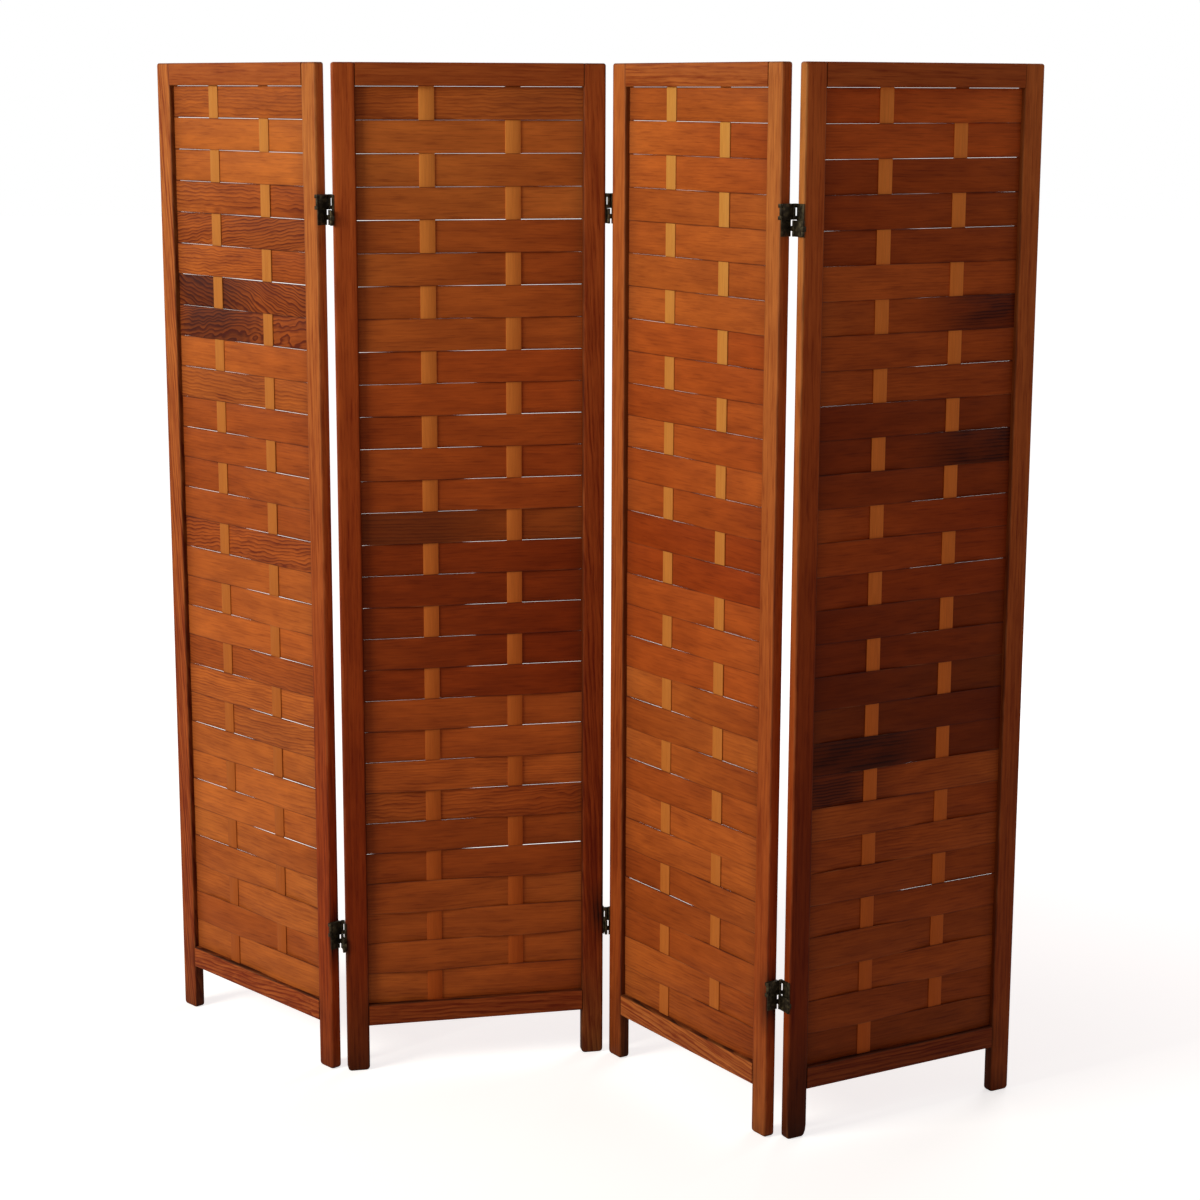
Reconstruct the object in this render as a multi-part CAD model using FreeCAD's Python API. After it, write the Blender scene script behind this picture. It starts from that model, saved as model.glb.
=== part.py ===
import FreeCAD, Part
import math
import os

from FreeCAD import Placement, Rotation, Vector

# Woven wood folding screen: four hinged panels, each a mortised frame with slats woven round two strips.
# Millimetres. A panel's own frame has x to the right across its width, y to its back, z up from the floor.

# Panel frame
panel_width = 455.0
panel_height = 1727.0
frame_thickness = 19.0
stile_width = 38.0
rail_height = 38.0
foot_height = 81.0
edge_chamfer = 2.0
corner_ease = 4.0
foot_ease = 6.0
worn_corner_width = 8.0
worn_corner_height = 20.0

# Mortise and tenon between rail and stile
tenon_length = 26.0
tenon_thickness = 8.0
tenon_shoulder = 6.0
tenon_clearance = 0.1
mortise_end_room = 0.5

# Woven filling
slat_count = 29
slat_thickness = 1.5
slat_gap = 0.6
slat_head_gap = 0.6
slat_foot_gap = 0.5
slat_insert = 8.0
groove_clearance = 0.1
groove_end_room = 0.8
strip_spacing = 144.0
strip_width = 26.0
strip_thickness = 1.6
strip_insert = 5.0
strip_clearance = 0.2
weave_clearance = 0.1

# Crossed-link screen hinges, two in each gap between panels
panel_gap = 9.0
hinge_height = 50.0
upper_hinge_drop = 237.0
lower_hinge_rise = 245.0
leaf_thickness = 1.5
leaf_clearance = 0.4
link_thickness = 2.6
link_gap = 1.0
upper_centre_height = 12.0
lower_centre_height = 8.0
knuckle_clearance = 0.15
web_clearance = 0.4
pin_diameter = 2.6
pin_running_clearance = 0.05
face_clearance = 0.4
knuckle_sides = 12
pin_sides = 8

# Standing pose: yaw of panel 1, then how far each pair of panels is folded from flat
first_panel_yaw = -46.6
fold_angle_12 = 59.2
fold_angle_23 = 68.4
fold_angle_34 = 85.3

# Worked out from the sizes above
half_width = panel_width / 2
half_thickness = frame_thickness / 2
opening_half_width = half_width - stile_width
opening_bottom = foot_height + rail_height
opening_top = panel_height - rail_height
slat_end = opening_half_width + slat_insert
slat_room = opening_top - slat_head_gap - opening_bottom - slat_foot_gap
slat_height = (slat_room - (slat_count - 1) * slat_gap) / slat_count
slat_pitch = slat_height + slat_gap
strip_offset = strip_spacing / 2
hinge_edge = half_width + panel_gap / 2
hinge_heights = (panel_height - upper_hinge_drop, lower_hinge_rise)
knuckle_reach = panel_gap / 2 - leaf_thickness - leaf_clearance
knuckle_half = knuckle_reach * math.cos(math.pi / knuckle_sides)
axis_offset = half_thickness + knuckle_reach + face_clearance
pin_radius = pin_diameter / 2
bore_reach = (pin_radius + pin_running_clearance) / math.cos(math.pi / pin_sides)

UP = Vector(0, 0, 1)


def knuckle_levels(low, centre_height):
    """Heights of the three knuckles on one half of a hinge, with running room between them."""
    high = low + (hinge_height - link_gap) / 2
    middle = (low + high) / 2
    half_centre = centre_height / 2
    half_gap = half_centre + knuckle_clearance
    return {
        "centre": (middle - half_centre, middle + half_centre),
        "outer": ((low, middle - half_gap), (middle + half_gap, high)),
    }


upper_half = knuckle_levels(link_gap / 2, upper_centre_height)
lower_half = knuckle_levels(-hinge_height / 2, lower_centre_height)


def bow_share(x):
    """Height of a slat's bow at a place across the panel, as a share of its height at the crest."""
    crest = slat_end / 2
    return 1 - ((crest - x) / crest) ** 2


# A slat bows just far enough to clear the nearer edge of each strip
strip_edge = strip_offset - strip_width / 2
bow = (slat_thickness / 2 + strip_thickness / 2 + weave_clearance) / bow_share(strip_edge)


def box(x_pair, y_pair, z_pair):
    """Block between two values on each axis, given in either order."""
    low = Vector(min(x_pair), min(y_pair), min(z_pair))
    size = Vector(max(x_pair), max(y_pair), max(z_pair)) - low
    return Part.makeBox(size.x, size.y, size.z, low)


def prism(points, direction):
    corners = [Vector(*point) for point in points]
    return Part.Face(Part.makePolygon(corners + corners[:1])).extrude(direction)


def stile(side, worn):
    """Upright of a panel, left for side -1 and right for side 1, running down below the rail as a foot."""
    outer = side * half_width
    inner = side * opening_half_width
    near_outer = outer - side * edge_chamfer
    near_inner = inner + side * edge_chamfer
    near_face = half_thickness - edge_chamfer
    plan = [
        (near_outer, -half_thickness),
        (outer, -near_face),
        (outer, near_face),
        (near_outer, half_thickness),
        (near_inner, half_thickness),
        (inner, near_face),
        (inner, -near_face),
        (near_inner, -half_thickness),
    ]
    post = prism([(x, y, 0) for x, y in plan], Vector(0, 0, panel_height))

    toe_width = worn_corner_width if worn else foot_ease
    toe_height = worn_corner_height if worn else foot_ease
    outline = [
        (outer - side * foot_ease, 0),
        (outer, foot_ease),
        (outer, panel_height - corner_ease),
        (outer - side * corner_ease, panel_height),
        (inner, panel_height),
        (inner, toe_height),
        (inner + side * toe_width, 0),
    ]
    shape = post.common(prism([(x, -half_thickness, z) for x, z in outline], Vector(0, frame_thickness, 0)))

    groove_half = slat_thickness / 2 + bow * bow_share(opening_half_width) + groove_clearance
    groove_floor = slat_end + groove_end_room
    groove_ends = (opening_bottom, opening_top)
    shape = shape.cut(box((inner, side * groove_floor), (-groove_half, groove_half), groove_ends))

    mortise_half = tenon_thickness / 2 + tenon_clearance
    mortise_floor = inner + side * (tenon_length + mortise_end_room)
    for rail_bottom in (foot_height, opening_top):
        low = rail_bottom + tenon_shoulder - tenon_clearance
        high = rail_bottom + rail_height - tenon_shoulder + tenon_clearance
        shape = shape.cut(box((inner, mortise_floor), (-mortise_half, mortise_half), (low, high)))
    return shape.removeSplitter()


def rail(bottom, slats_above):
    """Cross member with a tenon at each end, and a slot for each strip on the side that faces the slats."""
    top = bottom + rail_height
    free_level, slot_level, into = (bottom, top, -1) if slats_above else (top, bottom, 1)
    near_face = half_thickness - edge_chamfer
    near_free = free_level - into * edge_chamfer
    section = [
        (-half_thickness, slot_level),
        (-half_thickness, near_free),
        (-near_face, free_level),
        (near_face, free_level),
        (half_thickness, near_free),
        (half_thickness, slot_level),
    ]
    body = prism([(-opening_half_width, y, z) for y, z in section], Vector(2 * opening_half_width, 0, 0))

    reach = opening_half_width + tenon_length
    tenon_half = tenon_thickness / 2
    tenon_edges = (bottom + tenon_shoulder, top - tenon_shoulder)
    shape = body.fuse(box((-reach, reach), (-tenon_half, tenon_half), tenon_edges))

    slot_half = strip_width / 2 + strip_clearance
    slot_side = strip_thickness / 2 + strip_clearance
    slot_floor = slot_level + into * (strip_insert + strip_clearance)
    for x in (-strip_offset, strip_offset):
        slot = box((x - slot_half, x + slot_half), (-slot_side, slot_side), (slot_level, slot_floor))
        shape = shape.cut(slot)
    return shape.removeSplitter()


def strip(side):
    """Thin upright that the slats pass behind and in front of by turns, let into both rails."""
    x = side * strip_offset
    half = strip_thickness / 2
    ends = (opening_bottom - strip_insert, opening_top + strip_insert)
    return box((x - strip_width / 2, x + strip_width / 2), (-half, half), ends)


def slat_section(way):
    """Plan of a slat, two equal arcs: for way 1 it bows behind the left strip and before the right one."""
    outline = []
    for y in (-slat_thickness / 2, slat_thickness / 2):
        left, middle, right = (Vector(x, y, 0) for x in (-slat_end, 0, slat_end))
        outline.append(Part.Arc(left, Vector(-slat_end / 2, y + way * bow, 0), middle).toShape())
        outline.append(Part.Arc(middle, Vector(slat_end / 2, y - way * bow, 0), right).toShape())
    for x in (-slat_end, slat_end):
        front, back = (Vector(x, y, 0) for y in (-slat_thickness / 2, slat_thickness / 2))
        outline.append(Part.LineSegment(front, back).toShape())
    return Part.Face(Part.Wire(Part.__sortEdges__(outline)))


def slats(first, way):
    """Every second slat of a panel, counted down from the top one, as separate solids."""
    section = slat_section(way)
    solids = []
    for index in range(first, slat_count, 2):
        blank = section.copy()
        blank.translate(Vector(0, 0, opening_top - slat_head_gap - slat_height - index * slat_pitch))
        solids.append(blank.extrude(Vector(0, 0, slat_height)))
    return Part.makeCompound(solids)


def barrel(y, reach, ends, sides):
    """Upright round bar on a hinge axis at y, drawn with flats whose corners are at a distance reach."""
    low, high = ends
    turns = [math.pi * (2 * corner + 1) / sides for corner in range(sides)]
    plan = [(reach * math.cos(turn), y + reach * math.sin(turn), low) for turn in turns]
    return prism(plan, Vector(0, 0, high - low))


def outer_knuckles(y, half, arms):
    """The outer two knuckles on an axis, with the arms that carry them and the pin fixed between them."""
    (_, gap_low), (gap_high, _) = half["outer"]
    pieces = [barrel(y, pin_radius, (gap_low, gap_high), pin_sides)]
    for ends in half["outer"]:
        pieces.append(barrel(y, knuckle_reach, ends, knuckle_sides))
        pieces += [box(x_pair, y_pair, ends) for x_pair, y_pair in arms]
    return pieces[0].fuse(pieces[1:])


def centre_knuckle(y, half, arms):
    """The knuckle between the outer two, with the arms that carry it, bored to turn on their pin."""
    ends = half["centre"]
    lugs = [box(x_pair, y_pair, ends) for x_pair, y_pair in arms]
    shape = barrel(y, knuckle_reach, ends, knuckle_sides).fuse(lugs)
    return shape.cut(barrel(y, bore_reach, ends, pin_sides))


def leaf():
    """Left leaf about the middle of its gap: outer knuckles in front above, a centre one at the back below."""
    wall = -panel_gap / 2
    plate_x = (wall, wall + leaf_thickness)
    half_height = hinge_height / 2
    shape = box(plate_x, (-half_thickness, half_thickness), (-half_height, half_height))
    for out, knuckles, half in ((-1, outer_knuckles, upper_half), (1, centre_knuckle, lower_half)):
        y = out * axis_offset
        arms = [((wall, 0), (y - knuckle_half, y + knuckle_half)), (plate_x, (out * half_thickness, y))]
        shape = shape.fuse(knuckles(y, half, arms))
    return shape.removeSplitter()


def link(knuckles, half):
    """Link in the middle of its gap: a web across the hinge with the same knuckles at its front and back."""
    (low, _), (_, high) = half["outer"]
    web_x = (-link_thickness / 2, link_thickness / 2)
    web_reach = axis_offset - knuckle_reach - web_clearance
    shape = box(web_x, (-web_reach, web_reach), (low, high))
    for out in (-1, 1):
        y = out * axis_offset
        shape = shape.fuse(knuckles(y, half, [(web_x, (out * web_reach, y))]))
    return shape.removeSplitter()


def hinge_pair(shape, x, turn):
    """The same hinge piece at both hinge heights, beside the panel edge at x."""
    solids = []
    for height in hinge_heights:
        piece = shape.copy()
        piece.rotate(Vector(), UP, turn)
        piece.translate(Vector(x, 0, height))
        solids.append(piece)
    return Part.makeCompound(solids)


def swing_line(back_pins):
    """Place of the pins that a pair of panels swings about, in the left panel's frame."""
    return Vector(hinge_edge, axis_offset if back_pins else -axis_offset, 0)


def next_place(place, fold, back_pins):
    """Placement of the panel to the right, swung to the back on back pins, or to the front on front ones."""
    swing = Rotation(UP, fold if back_pins else -fold)
    step = Placement(Vector(panel_width + panel_gap, 0, 0), Rotation())
    return place.multiply(Placement(Vector(), swing, swing_line(back_pins))).multiply(step)


# Pairs of neighbours: the label, the fold, and whether the pair swings on its hinges' back pins
pairs = (("12", fold_angle_12, True), ("23", fold_angle_23, False), ("34", fold_angle_34, True))

places = [Placement(Vector(), Rotation(UP, first_panel_yaw))]
for _, fold, back_pins in pairs:
    places.append(next_place(places[-1], fold, back_pins))

nodes = {}


def add(name, shape, panel):
    shape.Placement = places[panel].multiply(shape.Placement)
    nodes[name] = shape


for panel in range(len(places)):
    label = f"panel_{panel + 1}_"
    last_panel = panel == len(places) - 1
    add(label + "left_stile", stile(-1, worn=last_panel), panel)
    add(label + "right_stile", stile(1, worn=False), panel)
    add(label + "top_rail", rail(opening_top, slats_above=False), panel)
    add(label + "bottom_rail", rail(foot_height, slats_above=True), panel)
    add(label + "left_strip", strip(-1), panel)
    add(label + "right_strip", strip(1), panel)
    add(label + "odd_slats", slats(0, 1), panel)
    add(label + "even_slats", slats(1, -1), panel)

upper_link = link(centre_knuckle, upper_half)
lower_link = link(outer_knuckles, lower_half)
for left, (pair, _, back_pins) in enumerate(pairs):
    label = f"hinge_{pair}_"
    add(label + "left_leaves", hinge_pair(leaf(), hinge_edge, 0), left)
    add(label + "right_leaves", hinge_pair(leaf(), -hinge_edge, 180), left + 1)
    for name, shape, on_left in (("upper", upper_link, back_pins), ("lower", lower_link, not back_pins)):
        x, panel = (hinge_edge, left) if on_left else (-hinge_edge, left + 1)
        add(f"{label}{name}_links", hinge_pair(shape, x, 0), panel)

# The screen's own frame: floor at z = 0, middle of its footprint at the origin, front towards -y
extent = FreeCAD.BoundBox()
for shape in nodes.values():
    extent.add(shape.BoundBox)
to_middle = Vector(-extent.Center.x, -extent.Center.y, 0)

os.makedirs("parts", exist_ok=True)
for name, shape in nodes.items():
    shape.translate(to_middle)
    shape.exportStep(f"parts/{name}.step")

print(f"size {extent.XLength:.2f} {extent.YLength:.2f} {extent.ZLength:.2f}")
print(f"slat height {slat_height:.3f} pitch {slat_pitch:.3f} bow {bow:.3f}")
for panel, place in enumerate(places):
    spot = place.Base + to_middle
    yaw = place.Rotation.getYawPitchRoll()[0]
    print(f"panel {panel + 1} at {spot.x:.4f} {spot.y:.4f} yaw {yaw:.4f}")
for left, (pair, fold, back_pins) in enumerate(pairs):
    spot = places[left].multVec(swing_line(back_pins)) + to_middle
    print(f"hinge {pair} axis at {spot.x:.4f} {spot.y:.4f} fold {fold}")
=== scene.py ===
# %% [markdown]
# # A woven wood folding screen
# Four narrow panels stand in a zigzag, joined by small crossed-link hinges. Each panel is a plain wooden frame,
# and broad thin slats are woven round two upright strips to fill it. The imported model tells where the panels stand
# and how high they are, so the first step loads it. It also keeps the model's box, which gives the height.

# %% Load the frame
import math
import random

import bmesh
import bpy
from mathutils import Matrix, Vector


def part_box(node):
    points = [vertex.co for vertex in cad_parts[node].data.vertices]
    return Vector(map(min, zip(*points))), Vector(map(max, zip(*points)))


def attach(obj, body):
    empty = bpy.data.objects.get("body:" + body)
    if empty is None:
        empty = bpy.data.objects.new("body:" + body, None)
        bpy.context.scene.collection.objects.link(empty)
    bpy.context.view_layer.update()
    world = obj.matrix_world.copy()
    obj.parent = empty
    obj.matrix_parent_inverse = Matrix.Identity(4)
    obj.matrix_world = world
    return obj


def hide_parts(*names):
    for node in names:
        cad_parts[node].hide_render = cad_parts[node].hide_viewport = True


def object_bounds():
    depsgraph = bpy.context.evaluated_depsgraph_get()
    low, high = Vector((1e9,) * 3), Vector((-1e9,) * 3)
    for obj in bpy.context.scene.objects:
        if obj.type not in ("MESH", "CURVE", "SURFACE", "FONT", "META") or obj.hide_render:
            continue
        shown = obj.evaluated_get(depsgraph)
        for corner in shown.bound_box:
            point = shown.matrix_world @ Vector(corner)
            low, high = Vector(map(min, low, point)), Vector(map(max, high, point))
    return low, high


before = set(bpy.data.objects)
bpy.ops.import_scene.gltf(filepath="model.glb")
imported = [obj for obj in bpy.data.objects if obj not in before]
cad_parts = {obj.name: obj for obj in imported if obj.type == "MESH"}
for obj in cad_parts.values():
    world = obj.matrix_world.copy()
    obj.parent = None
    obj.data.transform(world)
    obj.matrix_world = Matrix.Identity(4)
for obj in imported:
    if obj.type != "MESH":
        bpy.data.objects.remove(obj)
cad_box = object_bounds()

# %% [markdown]
# ## Where the panels stand
# A panel is easiest to build lying square to the axes: x across it, y to its back, z up. Building it turned would
# mean turning every size as well, so each piece is moved to its panel only when it is done. The middles of the
# panel's two strips tell where it stands: halfway between them is its middle, and the line through them its width.

# %% Panel places
PANELS = (1, 2, 3, 4)


def middle(node):
    low, high = (Vector(corner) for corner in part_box(node))
    return (low + high) / 2


def panel_place(panel):
    left = middle(f"panel_{panel}_left_strip")
    right = middle(f"panel_{panel}_right_strip")
    across = right - left
    spot = (left + right) / 2
    return Matrix.Translation((spot.x, spot.y, 0)) @ Matrix.Rotation(math.atan2(across.y, across.x), 4, "Z")


places = {panel: panel_place(panel) for panel in PANELS}
for panel, place in places.items():
    print("panel", panel, "at", [round(value, 4) for value in place.translation])

# %% [markdown]
# ## Sizes
# These are the real sizes in metres. The height comes from the loaded frame, and the rest are the joiner's own:
# stiles and rails 38 mm wide, planed to 19 mm, and feet of 81 mm below the bottom rail. Every other piece brings
# its sizes where it is made.

# %% Sizes
PANEL_WIDTH = 0.455
PANEL_HEIGHT = cad_box[1][2] - cad_box[0][2]
FRAME_THICKNESS = 0.019
STILE_WIDTH = 0.038
RAIL_HEIGHT = 0.038
FOOT_HEIGHT = 0.081
OPENING_HALF = PANEL_WIDTH / 2 - STILE_WIDTH
OPENING_BOTTOM = FOOT_HEIGHT + RAIL_HEIGHT
OPENING_TOP = PANEL_HEIGHT - RAIL_HEIGHT
print("height", round(PANEL_HEIGHT, 4), "opening", round(2 * OPENING_HALF, 4))

# %% [markdown]
# ## Camera
# The camera stands in front at eye height, tipped down a little. It could be set by eye, but its place and lens come
# from matching the edges of all four frames to the photograph, which is square, 1200 by 1200. Then every edge of the
# model lies on its own edge in the picture, and the two can be compared place by place.

# %% Camera
FOCAL_PIXELS = 2534.8
IMAGE_WIDTH = 1200
SENSOR_WIDTH = 36
CAMERA_SPOT = Vector((0.0361, -4.2084, 1.6837))
CAMERA_PITCH = math.radians(11.376)
CAMERA_ROLL = math.radians(0.188)

scene = bpy.context.scene
lens = bpy.data.cameras.new("camera")
lens.sensor_width = SENSOR_WIDTH
lens.lens = SENSOR_WIDTH * FOCAL_PIXELS / IMAGE_WIDTH
camera = bpy.data.objects.new("camera", lens)
tip = Matrix.Rotation(math.radians(90) - CAMERA_PITCH, 4, "X") @ Matrix.Rotation(CAMERA_ROLL, 4, "Z")
camera.matrix_world = Matrix.Translation(CAMERA_SPOT) @ tip
scene.collection.objects.link(camera)
scene.camera = camera
scene.view_settings.view_transform = "Standard"
print("lens", round(lens.lens, 2), "mm")

# %% [markdown]
# ## Node helpers
# A finish is a small tree of shader nodes. It could be drawn by hand in the editor, but a script makes it the same
# each time. `put` adds a node, sets its options, and fills each input with a number or with the output of an earlier
# node. The short helpers after it name the steps that come back often.

# %% Node helpers
def put(tree, kind, inputs=None, **options):
    step = tree.nodes.new(kind)
    for name, value in options.items():
        setattr(step, name, value)
    for key, value in (inputs or {}).items():
        if isinstance(value, bpy.types.NodeSocket):
            tree.links.new(value, step.inputs[key])
        else:
            step.inputs[key].default_value = value
    return step


def calc(tree, operation, first, second=0.0, third=0.0):
    inputs = {0: first, 1: second, 2: third}
    return put(tree, "ShaderNodeMath", inputs, operation=operation).outputs[0]


def mix(tree, share, first, second, blend_type="MIX"):
    """Two colours mixed by a share. A Mix node keeps its colours in inputs 6 and 7, and gives one in output 2."""
    inputs = {0: share, 6: first, 7: second}
    return put(tree, "ShaderNodeMix", inputs, data_type="RGBA", blend_type=blend_type).outputs[2]


def vector_calc(tree, operation, inputs):
    return put(tree, "ShaderNodeVectorMath", inputs, operation=operation).outputs[0]


def stretch(tree, coords, factors):
    """Coordinates multiplied axis by axis, so that a texture runs long and thin along the grain."""
    return vector_calc(tree, "MULTIPLY", {0: coords, 1: factors})


def noise(tree, coords, detail=2.0):
    return put(tree, "ShaderNodeTexNoise", {"Vector": coords, "Scale": 1.0, "Detail": detail})


def ramp(tree, share, stops):
    """A grey level for each share, read off between the stops."""
    step = put(tree, "ShaderNodeValToRGB", {0: share})
    marks = step.color_ramp.elements
    while len(marks) < len(stops):
        marks.new(1.0)
    for mark, (place, level) in zip(marks, stops):
        mark.position = place
        mark.color = (level, level, level, 1)
    return step.outputs[0]


def attribute(tree, name, output):
    return put(tree, "ShaderNodeAttribute", attribute_name=name).outputs[output]


def new_finish(name):
    material = bpy.data.materials.new(name)
    material.use_nodes = True
    return material, material.node_tree, material.node_tree.nodes["Principled BSDF"]


print("helpers ready")

# %% [markdown]
# ## Floor
# The screen is shown on white. The floor is pale, and takes the soft shadow of the feet. A plain white floor would
# show a grey line where it ends, so what the camera sees of it is lifted to white, more so farther off, and it runs
# into the white room without a line.

# %% Floor
WHITE = (1, 1, 1, 1)
FLOOR_COLOUR = (0.75, 0.75, 0.75, 1)
FLOOR_HALF = 30
# Where the lift begins and ends, in metres from the middle of the floor, and how strong it is there
LIFT_START, LIFT_END = 0.9, 3.5
LIFT_NEAR, LIFT_FAR = 0.66, 0.9


def seen_rays(tree, *kinds):
    """1 for the named kinds of ray, and 0 for all others."""
    path = put(tree, "ShaderNodeLightPath").outputs
    seen = path[kinds[0]]
    for kind in kinds[1:]:
        seen = calc(tree, "MAXIMUM", seen, path[kind])
    return seen


def pale_floor():
    material, tree, shader = new_finish("pale floor")
    shader.inputs["Base Color"].default_value = FLOOR_COLOUR
    shader.inputs["Roughness"].default_value = 1.0
    shader.inputs["Specular IOR Level"].default_value = 0.0
    shader.inputs["Emission Color"].default_value = WHITE
    spot = put(tree, "ShaderNodeTexCoord").outputs["Object"]
    away = put(tree, "ShaderNodeVectorMath", {0: spot}, operation="LENGTH").outputs["Value"]
    limits = {"Value": away, 1: LIFT_START, 2: LIFT_END, 3: LIFT_NEAR, 4: LIFT_FAR}
    lift = put(tree, "ShaderNodeMapRange", limits).outputs[0]
    seen = seen_rays(tree, "Is Camera Ray", "Is Transmission Ray")
    tree.links.new(calc(tree, "MULTIPLY", lift, seen), shader.inputs["Emission Strength"])
    return material


floor_mesh = bpy.data.meshes.new("floor")
bm = bmesh.new()
bmesh.ops.create_grid(bm, x_segments=1, y_segments=1, size=FLOOR_HALF)
bm.to_mesh(floor_mesh)
bm.free()
floor = bpy.data.objects.new("floor", floor_mesh)
floor.data.materials.append(pale_floor())
scene.collection.objects.link(floor)
print("floor", 2 * FLOOR_HALF, "m wide")

# %% [markdown]
# ## Room and lamps
# The room looks white, but it lights the wood only with a dim, warm glow. A wide lamp stands up at the left: the
# panels that face left glow orange, and the others stay a deep red-brown. An even light from all sides would make
# the four panels alike. A weak lamp behind keeps the backs from going dark.

# %% Room and lamps
ROOM_GLOW = (0.26, 0.215, 0.205, 1)

world = bpy.data.worlds.new("white room")
world.use_nodes = True
room = world.node_tree
seen = seen_rays(room, "Is Camera Ray", "Is Transmission Ray", "Is Glossy Ray")
room.links.new(mix(room, seen, ROOM_GLOW, WHITE), room.nodes["Background"].inputs["Color"])
scene.world = world


def lamp(name, spot, target, size, power, colour):
    light = bpy.data.lights.new(name, "AREA")
    light.size = size
    light.color = colour
    light.energy = power
    holder = bpy.data.objects.new(name, light)
    aim = (Vector(target) - Vector(spot)).to_track_quat("-Z", "Y")
    holder.matrix_world = Matrix.Translation(spot) @ aim.to_matrix().to_4x4()
    scene.collection.objects.link(holder)


lamp("left window", spot=(-3.6, -1.95, 2.4), target=(0.0, 0.0, 1.0), size=1.6, power=122, colour=(1, 0.99, 0.87))
lamp("back fill", spot=(2.2, 3.6, 2.6), target=(0.0, 0.0, 0.9), size=2.0, power=50, colour=(1, 1, 1))
print("room and two lamps")

# %% [markdown]
# ## Boards
# Every wooden piece is a board: a block with softened edges. It could be an extruded profile, but a cube and
# the bevel operator need only two corners and a radius, and serve stiles, rails, strips and slats alike.
# Four things are then written on its points for the finish to read. `grain` is the point's place in the tree that
# the board came from, with x along the fibres, so rings and fibres run through the board and turn the corner at its
# ends. `tone` is how light, how red and how figured the wood is there. The third is where it has darkened, from
# stains and dirt and from painted shade. The fourth grows to 1 at the edges, where painted shade and grime darken
# them and hands and feet have rubbed the lacquer.

# %% Boards
class Boards:
    """A mesh in the making, with the layers that the wood finish reads."""

    def __init__(self):
        self.bm = bmesh.new()
        layers = self.bm.verts.layers
        self.grain = layers.float_vector.new("grain")
        self.tone = layers.float_vector.new("tone")
        self.stain_and_shade = layers.float.new("stain_and_shade")
        self.edge_shade_and_wear = layers.float.new("edge_shade_and_wear")

    def add(self, low, high):
        size = Vector(high) - Vector(low)
        spot = (Vector(high) + Vector(low)) / 2
        shape = Matrix.Translation(spot) @ Matrix.Diagonal((*size, 1))
        bmesh.ops.create_cube(self.bm, size=1, matrix=shape)

    def long_edges(self, length):
        return [edge for edge in self.bm.edges if edge.calc_length() > length]

    def round(self, edges, radius, segments):
        bmesh.ops.bevel(self.bm, geom=edges, offset=radius, segments=segments, profile=0.5, affect="EDGES",
                        clamp_overlap=True, material=-1)

    def cut(self, length, cuts):
        bmesh.ops.subdivide_edges(self.bm, edges=self.long_edges(length), cuts=cuts, use_grid_fill=True)

    def mark(self, vert, grain, tone, stain_and_shade=0.0, edge_shade_and_wear=0.0):
        vert[self.grain], vert[self.tone], vert[self.stain_and_shade], vert[self.edge_shade_and_wear] = grain, tone, stain_and_shade, edge_shade_and_wear


print("board layers: grain, tone, stain, wear")

# %% [markdown]
# ### Where a board grew
# Boards differ because each was sawn from another place in a tree. Chance sets how the heart of the tree lies behind
# a board, and how far the fibres run aslant. The generator is seeded, so every run gives the same boards.

# %% Where a board grew
SEED = 7
TREE_LENGTH = 40
HEART_AWAY = (0.06, 0.14)
HEART_TURN, FIGURE_TURN = 40, 18
SLANT, FIGURE_SLANT = 0.012, 0.25
TAPER, LEAST_TAPER = 0.03, 0.3
BEVEL_DEPTH = 1 - math.sqrt(0.5)
chance = random.Random(SEED)


def from_tree(figure):
    """Where a board lay in its tree, as a function from its own coordinates to the tree's.

    The more figure it has, the nearer its face is to lying along the rings, and the more its fibres run aslant.
    """
    turn = math.radians(chance.uniform(0, HEART_TURN) + FIGURE_TURN * figure)
    away = chance.uniform(*HEART_AWAY)
    heart = Vector((chance.uniform(0, TREE_LENGTH), away * math.cos(turn), away * math.sin(turn)))
    slant = chance.gauss(0, SLANT) + chance.choice((-1, 1)) * FIGURE_SLANT * figure ** 4
    taper = chance.gauss(0, TAPER) * (LEAST_TAPER + figure)

    def place(along, across, through):
        return heart + Vector((along, across + slant * along, through + taper * along))

    return place


def edge_shade_and_wear_level(half_size, spot, radius):
    """Nothing on the flat faces, rising to 1 halfway round a rounded edge."""
    depth = min(half - abs(value) for half, value in zip(half_size, spot))
    return max(0.0, min(1.0, depth / (BEVEL_DEPTH * radius)))


print("heart of a tree", HEART_AWAY, "m behind its boards")

# %% [markdown]
# ### Setting a piece in place
# When a piece is shaped it goes to its panel, gets its finish, and stands for the plain node of the loaded frame.
# Its place goes into its mesh, so that all the objects share one origin. Faces are smooth, apart from sharp corners.

# %% Set a piece in place
SMOOTH_BELOW = math.radians(35)


def finish_piece(bm, name, panel, material, nodes):
    body = f"panel_{panel}"
    bmesh.ops.transform(bm, matrix=places[panel], verts=bm.verts)
    mesh = bpy.data.meshes.new(name)
    for face in bm.faces:
        face.smooth = True
    bm.to_mesh(mesh)
    bm.free()
    mesh.set_sharp_from_angle(angle=SMOOTH_BELOW)
    mesh.materials.append(material)
    piece = bpy.data.objects.new(name, mesh)
    scene.collection.objects.link(piece)
    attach(piece, body)
    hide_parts(*nodes)
    return piece


print("pieces are smooth below", round(math.degrees(SMOOTH_BELOW)), "degrees")

# %% [markdown]
# ## Wood grain
# The wood is a warm softwood. Pictures of grain would repeat, and would not meet at the ends of a board, so the grain
# is drawn in the tree itself. Growth rings are cylinders round its heart. They give straight lines where a board was
# cut through the rings, and arched figure where it was cut along them. A slow noise bends the fibres first, and a
# smooth, quicker one makes them curl. Noise stretched along the grain makes fine fibres, short flecks and long dark
# streaks, and broad noise makes the mottled clouds that lacquer always shows.

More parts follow.
